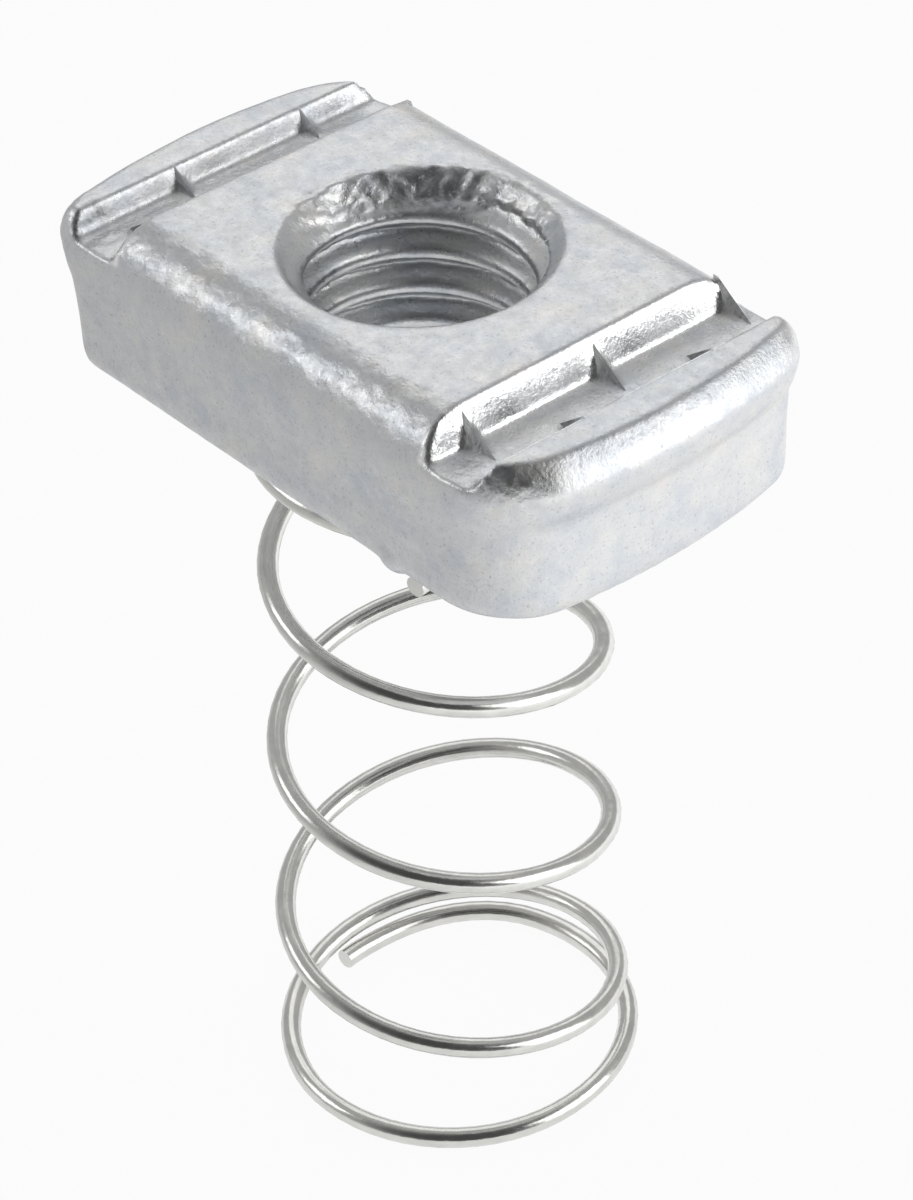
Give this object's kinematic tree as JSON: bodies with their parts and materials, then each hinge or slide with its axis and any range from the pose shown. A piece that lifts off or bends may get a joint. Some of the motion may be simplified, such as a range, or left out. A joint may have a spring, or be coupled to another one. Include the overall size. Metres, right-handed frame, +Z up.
{
  "type": "strut spring nut",
  "caption": "Rectangular channel nut with a threaded hole, two toothed lip grooves and a tapered coil spring staked underneath.",
  "frame": {"origin": "on the threaded hole's axis, level with the foot of the spring", "axes": "+X along the block's length, across its lip grooves; +Y along the grooves; +Z up, from the spring towards the raised top face"},
  "size_m": [0.0348, 0.0192, 0.0485],
  "materials": {
    "nut": "bright zinc plate over forged steel",
    "spring": "bright zinc plated drawn wire"
  },
  "bodies": {
    "nut": {"nut": "nut"},
    "spring": {"spring": "spring"}
  },
  "joints": [
    {"name": "spring_squeeze", "type": "slide", "parent": "nut", "child": "spring", "axis": [0, 0, 1], "range_m": [0, 0.028], "stiffness_N_per_m": 630, "springref_m": -0.001, "deforming": ["spring"]}
  ]
}
